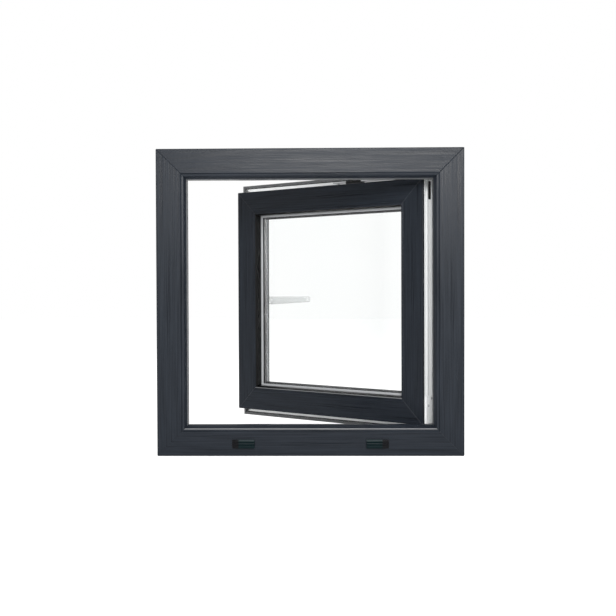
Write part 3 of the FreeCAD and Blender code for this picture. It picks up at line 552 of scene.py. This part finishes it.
def spacer_metal(middle):
    """Brushed metal, dark where the number per face says sealant or where a slit is: inside a band about the
    middle of the face, for a little over half of each 8 mm of length."""
    finish, shader = new_finish("spacer_metal")
    run = node(finish, "UVMap", uv_map="run").outputs[0]
    along, round_ = node(finish, "SeparateXYZ", [(0, run)]).outputs[:2]
    beat = node(finish, "Math", [(0, along), (1, SLITS_PER_METRE)], operation="MULTIPLY").outputs[0]
    beat = node(finish, "Math", [(0, beat)], operation="FRACT").outputs[0]
    cut = node(finish, "Math", [(0, beat), (1, SLIT_SHARE)], operation="LESS_THAN").outputs[0]
    band = node(finish, "Math", [(0, round_), (1, middle), (2, SLIT_HALF_WIDTH)],
                operation="COMPARE").outputs[0]
    slit = node(finish, "Math", [(0, cut), (1, band)], operation="MULTIPLY").outputs[0]
    coat = node(finish, "Attribute", attribute_name="coat").outputs["Fac"]
    dark = node(finish, "Math", [(0, slit), (1, coat)], operation="MAXIMUM").outputs[0]
    brushed = stretched_noise(finish, run, (8, 1500, 1))
    metal = ramp(finish, brushed, (0.25, 0.26, 0.27), (0.34, 0.35, 0.36))
    sealant = ramp(finish, brushed, (0.012, 0.012, 0.013), (0.022, 0.022, 0.024))
    colour = node(finish, "Mix", [("Factor", dark), (6, metal), (7, sealant)], data_type="RGBA").outputs[2]
    link(finish, colour, shader.inputs["Base Color"])
    bare = node(finish, "Math", [(0, 1.0), (1, dark)], operation="SUBTRACT").outputs[0]
    link(finish, bare, shader.inputs["Metallic"])
    link(finish, spread(finish, brushed, 0.30, 0.45), shader.inputs["Roughness"])
    link(finish, bump(finish, brushed, 0.00003), shader.inputs["Normal"])
    return finish


SPACER_BAR = soften([(93.5, 55.05), (111.5, 55.05), (115, 58.4), (115, 63.6), (113.8, 64.85), (93.5, 64.85)],
                    0.4)
INNER_FACE_FROM = 114.9
in_step, deep_step = (np.roll(SPACER_BAR, -1, 0) - SPACER_BAR).T
face_in = (SPACER_BAR + np.roll(SPACER_BAR, -1, 0))[:, 0] / 2
round_step = np.hypot(math.sqrt(2) * in_step, deep_step) * MM
inner_face = np.argmax(round_step * (face_in > INNER_FACE_FROM))
SPACER = spacer_metal((np.cumsum(round_step) - round_step / 2)[inner_face])
grid_piece("spacer_frame", with_sash(mitred_ring(SPACER_BAR)), "sash", SPACER, ["spacer_bar"],
           ring=True, paint=face_in < INNER_FACE_FROM)
print("width of the spacer's inner face in mm:", round(round_step[inner_face] / MM, 2))

# %% [markdown]
# ## The handle
# The lever is a lacquered casting: a blade with a straight upper edge that grows slimmer towards its tip, on
# a round neck that turns in a base plate. The blade is lofted: a rounded rectangle is carried along it while
# its height shrinks, and the two ends are drawn in to a soft rim.

# %% Blade of the lever
ANGLE = np.linspace(0, 2 * np.pi, 48, endpoint=False)
HANDLE_IN = 68
BLADE = np.array([(-9.5, 0.55), (-9.2, 0.8), (-8.2, 0.93), (-6.5, 1.0), (9.5, 1.0), (40, 1.0), (75, 1.0),
                  (106, 1.0), (111.5, 1.0), (113.2, 0.94), (113.8, 0.84), (114, 0.7)])
BLADE_TAPER = np.array([(9.5, 19), (114, 13)])
BLADE_DEEP, BLADE_HALF_DEPTH, UPPER_EDGE = 130.5, 6.4, 9.5


def rounded_box(angle, power):
    """Closed curve between a circle (power 2) and a square (high power): each coordinate is the cosine or
    sine of the angle, raised to two over the power and keeping its sign."""
    wave = np.stack([np.cos(angle), np.sin(angle)], -1)
    return np.sign(wave) * np.abs(wave) ** (2 / power)


def on_stile(across, deep, height):
    """Point of the sash near the handle, in mm: across from the handle's axis towards the glass."""
    return with_sash(on_side("left", height, HANDLE_IN + np.asarray(across), deep))


reach, shrink = BLADE.T[..., None]
blade_height = np.interp(reach, *BLADE_TAPER.T)
blade_middle = UPPER_EDGE - blade_height / 2
loop = rounded_box(ANGLE, 5)
blade = on_stile(reach, BLADE_DEEP + BLADE_HALF_DEPTH * shrink * loop[:, 0],
                 blade_middle + blade_height / 2 * shrink * loop[:, 1])
grid_piece("handle_blade", blade, "handle", LACQUER, ["handle_lever"])
print("blade in mm:", np.ptp(BLADE[:, 0]), "long, from", blade_height.max(), "to", blade_height.min(), "high")

# %% [markdown]
# ## Neck and base of the handle
# The neck is turned on a lathe: a profile of radius and depth swung about the handle's axis. The base plate
# is a casting with a soft rim, and it is drawn as a rounded rectangle that is stacked in layers. A bevel
# could round the rim too, but with layers the shape of the rim is one small table.

# %% Neck and base
NECK = np.array([(11.0, 94.3), (11.0, 95.2), (10.2, 96.2), (9.2, 97.5), (8.6, 104), (8.6, 117), (9.0, 121),
                 (9.4, 126)])
BASE = np.array([(0, 84), (0, 91.2), (0.35, 92.6), (1.2, 93.6), (2.4, 94)])
BASE_HALF_WIDE, BASE_HALF_HIGH = 15, 36
loop = rounded_box(ANGLE, 2)
neck = on_stile(NECK[:, :1] * loop[:, 0], NECK[:, 1:], NECK[:, :1] * loop[:, 1])
grid_piece("handle_neck", neck, "handle", LACQUER)
loop = rounded_box(ANGLE, 6)
base = on_stile((BASE_HALF_WIDE - BASE[:, :1]) * loop[:, 0], BASE[:, 1:],
                (BASE_HALF_HIGH - BASE[:, :1]) * loop[:, 1])
grid_piece("handle_base", base, "sash", LACQUER, ["handle_rosette"])
print("neck in mm:", 2 * NECK[:, 0].min(), "thick, base in mm:", 2 * BASE_HALF_WIDE, "by", 2 * BASE_HALF_HIGH)

# %% [markdown]
# ## Plastic of the drain caps
# The caps are moulded in black plastic with a fine grit. The upper edge is painted paler as a highlight, and
# the sloped end is painted darker as shade. Three materials could do that, but one that reads the number per
# face keeps the grit the same all over.

# %% Cap plastic in three tones
LOUVRE_TONES = (0.001, 0.006, 0.007), (0.003, 0.010, 0.012)
# Painted shade: the sloped end of the cap is darker than the louvres.
SLOPE_SHADE_TONES = (0.003, 0.003, 0.004), (0.006, 0.006, 0.007)
# Painted highlight: the upper edge of the cap is paler.
EDGE_HIGHLIGHT_TONES = (0.017, 0.025, 0.027), (0.032, 0.041, 0.043)


def cap_plastic():
    """Dark plastic in three tones that the number per face tells apart: 0 on the louvres, 1 on the sloped
    end, painted darker as shade, and 2 on the upper edge, painted paler as a highlight."""
    finish, shader = new_finish("cap_plastic", Specular_IOR_Level=0.09)
    grit = stretched_noise(finish, node(finish, "TexCoord").outputs["Object"], (900, 900, 900))
    coat = node(finish, "Attribute", attribute_name="coat").outputs["Fac"]
    colour = ramp(finish, grit, *LOUVRE_TONES)
    for level, tones in ((0.5, SLOPE_SHADE_TONES), (1.5, EDGE_HIGHLIGHT_TONES)):
        above = node(finish, "Math", [(0, coat), (1, level)], operation="GREATER_THAN").outputs[0]
        over = ramp(finish, grit, *tones)
        colour = node(finish, "Mix", [("Factor", above), (6, colour), (7, over)], data_type="RGBA").outputs[2]
    link(finish, colour, shader.inputs["Base Color"])
    link(finish, spread(finish, grit, 0.3, 0.45), shader.inputs["Roughness"])
    link(finish, bump(finish, grit, 0.0001), shader.inputs["Normal"])
    return finish


CAP = cap_plastic()
print("nodes in the cap plastic:", len(CAP.node_tree.nodes))

# %% [markdown]
# ## Drain caps
# Rain that gets into the frame leaves by two slots in the bottom bar. Each slot has a small dark cover with
# louvres, and its outer end slopes down to the bar. The louvred section is carried along the cover, and the
# slope is the same section pressed flatter and flatter.

# %% Louvred drain caps
LOUVRES = np.array([(-8.5, 0), (-8.5, 4.2), (-7.6, 5.2), (-4.4, 5.9), (-3.6, 5.7), (-3.3, 4.2), (-2.6, 4.1),
                    (0.8, 5.9), (1.5, 5.7), (1.8, 4.2), (2.5, 4.1), (5.4, 5.9), (6.4, 5.7), (8.5, 3.9),
                    (8.5, 0)])
CAP_RUN = np.array([(-22, 0.15), (-21.5, 0.3), (-10.5, 0.98), (-9, 1.0), (20.6, 1.0), (21.6, 0.95),
                    (22, 0.85)])
SLOPE_ENDS, EDGE_FROM, EDGE_PROUD = -8, 6, 3
along, press = CAP_RUN.T[..., None]
upper_edge = (LOUVRES[:, 0] > EDGE_FROM) & (np.roll(LOUVRES[:, 1], -1) > EDGE_PROUD)
# Number per face: 1 on the sloped end for its painted shade, 2 on the upper edge for its painted highlight.
cap_tone = np.where(along[1:] < SLOPE_ENDS, 1.0, 2.0 * upper_edge)
for side, way in (("left", 1), ("right", -1)):
    middle = np.mean([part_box(f"drain_cap_{side}")[0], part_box(f"drain_cap_{side}")[1]], 0)
    cap = np.empty((len(CAP_RUN), len(LOUVRES), 3))
    cap[..., 0] = middle[0] + way * along * MM
    cap[..., 1] = LOW[1] - press * LOUVRES[:, 1] * MM
    cap[..., 2] = middle[2] + LOUVRES[:, 0] * MM
    grid_piece(f"louvred_cap_{side}", cap, "frame", CAP, [f"drain_cap_{side}"], paint=cap_tone)
print("drain cap in mm:", np.ptp(along), "long,", np.ptp(LOUVRES[:, 0]), "high,",
      LOUVRES[:, 1].max(), "proud")

# %% [markdown]
# ## One screw head
# Every hinge and lock plate is held by countersunk screws with a cross recess. The recess could be cut with a
# boolean, but a head this small needs only a disc of rings, whose height is a low dome minus the cross.

# %% Screw head with a cross recess
RINGS = np.array([0.06, 0.15, 0.22, 0.3, 0.42, 0.55, 0.62, 0.8, 0.95, 1.0, 1.0])
SPOKES = 32
DOME_TOP, DOME_DROP, RIM_UNDER = 0.75, 0.35, -0.3
CROSS_DEPTH, CROSS_HALF_WIDTH, CROSS_REACH = 0.8, 0.17, 0.66
FLANK, END_FLANK = 0.06, 0.1


def screw_head():
    """Points of a head: places on a disc of radius 1, and heights in mm. The height falls with the square of
    the ring, less the cross's depth where the point is near one of two axes and inside the cross's reach."""
    turn = np.linspace(0, 2 * np.pi, SPOKES, endpoint=False) + np.pi / SPOKES
    disc = RINGS[:, None, None] * np.stack([np.cos(turn), np.sin(turn)], -1)
    cross = np.clip((CROSS_HALF_WIDTH - np.abs(disc).min(-1)) / FLANK, 0, 1)
    cross = cross * np.clip((CROSS_REACH - RINGS[:, None]) / END_FLANK, 0, 1)
    height = DOME_TOP - DOME_DROP * RINGS[:, None] ** 2 - CROSS_DEPTH * cross
    height[-1] = RIM_UNDER
    return disc, height


HEAD_DISC, HEAD_HEIGHT = screw_head()
print("points of a screw head:", HEAD_HEIGHT.size)

# %% [markdown]
# ## Screws on the plates
# The same head is set on each place with the plate's normal. Copies that share one mesh would be lighter, but
# a few heads weigh little, and all heads on one kind of plate make one piece to name and to move.

# %% Screws on strikers, bearings, lock plate, strap and guide
def screw_heads(name, places, outwards, body, radius):
    """Heads as one mesh. Each point of the disc, times the radius, lies at a right angle to the outward
    direction, and the height goes along it."""
    out = np.asarray(outwards, float)
    side = np.cross(out, (0, 0, 1)) if abs(out[2]) < 0.5 else np.array([1.0, 0, 0])
    flat = HEAD_DISC[..., :1] * side + HEAD_DISC[..., 1:] * np.cross(out, side)
    head = flat * radius + HEAD_HEIGHT[..., None] * out
    points = np.asarray(places, float)[:, None] + head.reshape(-1, 3) * MM
    sides, ends = grid_faces(len(RINGS), SPOKES)
    starts = range(0, HEAD_HEIGHT.size * len(places), HEAD_HEIGHT.size)
    mesh = bpy.data.meshes.new(name)
    mesh.from_pydata(points.reshape(-1, 3).tolist(), [],
                     [[start + corner for corner in face] for start in starts for face in sides + ends])
    return finish_mesh(name, mesh, body, ZINC)


SASH_OUT = with_sash(HINGE + np.array([1.0, 0, 0])) - HINGE
SCREWS = [
    ("striker_screws", on_side("left", [-116, -88, 124, 152], 42, 43.5), (1, 0, 0), "frame", 2.6),
    ("bearing_screws", on_side("right", [-288, -246, 226, 268], [19, 14, 19, 19], 71.2), (0, 1, 0), "frame",
     2.6),
    ("lock_plate_screws", with_sash(on_side("left", [-180, -60, 60, 180], 52, 48)), -SASH_OUT, "sash", 2.8),
    ("strap_screws", with_sash(on_side("right", [-210, -196], 49.5, [48, 60])), SASH_OUT, "sash", 2.6),
    ("stay_guide_screws", with_sash(on_side("top", [9, 225], 52, 48)), (0, 0, 1), "sash", 2.6)]
for name, places, outwards, body, radius in SCREWS:
    screw_heads(name, places, outwards, body, radius)
print("screw heads:", sum(len(places) for _, places, *_ in SCREWS))

# %% [markdown]
# ## Corner plate by the stay
# On the edge of the hinge stile, just under the upper corner, a blackened steel plate takes the pull of the
# stay. It is an oblong with soft ends, drawn as rings that step up from the edge and in to a rounded rim.

# %% Blackened corner plate
PLATE_STEPS = np.array([(0, 52.2), (0, 51.5), (-0.3, 51.2), (-0.8, 51.1)])
PLATE_ALONG, PLATE_DEEP = 224.5, 56.4
PLATE_HALF = np.array([[18.5], [4.0]])
loop = rounded_box(ANGLE, 9)
half_long, half_wide = (PLATE_HALF + PLATE_STEPS[:, 0])[..., None]
plate = on_side("right", PLATE_ALONG + half_long * loop[:, 0], PLATE_STEPS[:, 1:],
                PLATE_DEEP + half_wide * loop[:, 1])
grid_piece("corner_plate", with_sash(plate), "sash", BLACKENED)
print("corner plate in mm:", 2 * half_long[0], "by", 2 * half_wide[0])

# %% [markdown]
# ## Glide on the stay
# Where the stay arm lies over the sash, a black plastic sleeve keeps metal from rubbing on metal. It is a
# rounded box carried along the arm, a little smaller at its two ends, and it moves with the arm.

# %% Black sleeve on the stay arm
GLIDE = np.array([(51, 0.9), (51.6, 1.0), (89.4, 1.0), (90, 0.9)])
GLIDE_IN, GLIDE_DEEP, GLIDE_HALF_HIGH, GLIDE_HALF_DEPTH = 48.2, 48, 3.4, 7.8
along, size = GLIDE.T[..., None]
glide = on_side("top", along, GLIDE_IN + GLIDE_HALF_HIGH * size * loop[:, 0],
                GLIDE_DEEP + GLIDE_HALF_DEPTH * size * loop[:, 1])
grid_piece("stay_glide", with_sash(glide), "stay", BLACKENED)
print("glide in mm:", np.ptp(along), "long")

# %% [markdown]
# ## Camera
# The window is seen from about two metres in front and just above its middle, through a lens a little longer
# than normal. The camera's axes are written out, because a look-at constraint would lose its slight roll.

# %% Camera
EYE = 0.0340, -1.9722, 0.3245
LENS, SENSOR = 58.18, 36.0
camera = bpy.data.objects.new("camera", bpy.data.cameras.new("camera"))
bpy.context.scene.collection.objects.link(camera)
bpy.context.scene.camera = camera
camera.data.lens, camera.data.sensor_width = LENS, SENSOR
look = Vector((-0.01955, 0.99964, -0.01824)).normalized()
right = Vector((0.99980, 0.01949, -0.00341)).normalized()
axes = Matrix((right, right.cross(look), -look)).transposed()
camera.matrix_world = Matrix.Translation(EYE) @ axes.to_4x4()
bpy.context.scene.view_settings.view_transform = "Standard"
print("camera to window in m:", round((Vector(MIDDLE) - camera.location).length, 3))

# %% [markdown]
# ## Surround and floor
# The window stands on a pale floor in a pale surround, as in a plain studio. To the eye, in reflections and
# through glass the surround is pure white, while it lights the window at a lower level, so the white plastic
# keeps its shading. The floor glows a little, so that it runs into the surround and keeps a soft shadow.

# %% Surround and floor
SURROUND_LIGHT, FLOOR_GLOW, FLOOR_HALF = 0.75, 0.38, 9


def seen_directly(owner):
    """1 for rays that show a background: from the camera, by reflection or through glass."""
    rays = node(owner, "LightPath")
    seen = node(owner, "Math", [(0, rays.outputs["Is Camera Ray"]), (1, rays.outputs["Is Glossy Ray"])],
                operation="MAXIMUM").outputs[0]
    return node(owner, "Math", [(0, seen), (1, rays.outputs["Is Transmission Ray"])],
                operation="MAXIMUM").outputs[0]


surround = bpy.data.worlds.new("surround")
bpy.context.scene.world = surround
surround.use_nodes = True
glow = node(surround, "MapRange", [("Value", seen_directly(surround)), ("To Min", SURROUND_LIGHT),
                                   ("To Max", 1.0)])
link(surround, glow.outputs[0], surround.node_tree.nodes["Background"].inputs["Strength"])
surround.node_tree.nodes["Background"].inputs["Color"].default_value = (1, 1, 1, 1)

pale_floor, floor_shader = new_finish("pale_floor", Roughness=0.9, Specular_IOR_Level=0.0)
floor_shader.inputs["Base Color"].default_value = (0.86, 0.86, 0.86, 1)
floor_shader.inputs["Emission Color"].default_value = (1, 1, 1, 1)
link(pale_floor, node(pale_floor, "Math", [(0, seen_directly(pale_floor)), (1, FLOOR_GLOW)],
                      operation="MULTIPLY").outputs[0], floor_shader.inputs["Emission Strength"])
ground = bpy.data.meshes.new("floor")
corners = [(x * FLOOR_HALF, y * FLOOR_HALF, 0) for x, y in ((-1, -1), (1, -1), (1, 1), (-1, 1))]
ground.from_pydata(corners, [], [(0, 1, 2, 3)])
ground.materials.append(pale_floor)
floor = bpy.data.objects.new("floor", ground)
bpy.context.scene.collection.objects.link(floor)
print("floor in m:", 2 * FLOOR_HALF, "wide, surround lights at", SURROUND_LIGHT)

# %% [markdown]
# ## Lamps
# One wide soft lamp above the camera draws the sheen on the foil, one to the right keeps the edges apart, and
# one in the room lights the white side. Wide lamps give soft shadows, as a cloudy sky does. A picture of a
# real sky could light the window too, but its reflections would be harder to steer.

# %% Lamps
def lamp(name, place, aim, size, watts):
    """Wide soft lamp: a rectangle of light that faces its aim."""
    light = bpy.data.lights.new(name, "AREA")
    light.shape, (light.size, light.size_y), light.energy = "RECTANGLE", size, watts
    holder = bpy.data.objects.new(name, light)
    bpy.context.scene.collection.objects.link(holder)
    facing = (Vector(aim) - Vector(place)).to_track_quat("-Z", "Y")
    holder.matrix_world = Matrix.Translation(place) @ facing.to_matrix().to_4x4()


lamp("lamp_above_camera", (0.10, -2.2, 0.97), (0.05, 0, 0.4), (1.1, 0.5), 54)
lamp("lamp_right", (2.2, -1.6, 1.6), (0, 0, 0.3), (1.2, 1.2), 18)
lamp("lamp_room", (-1.6, 2.2, 2.4), (0, 0.2, 0.3), (1.6, 1.6), 18)
print("lamps:", [light.name for light in bpy.data.lights])
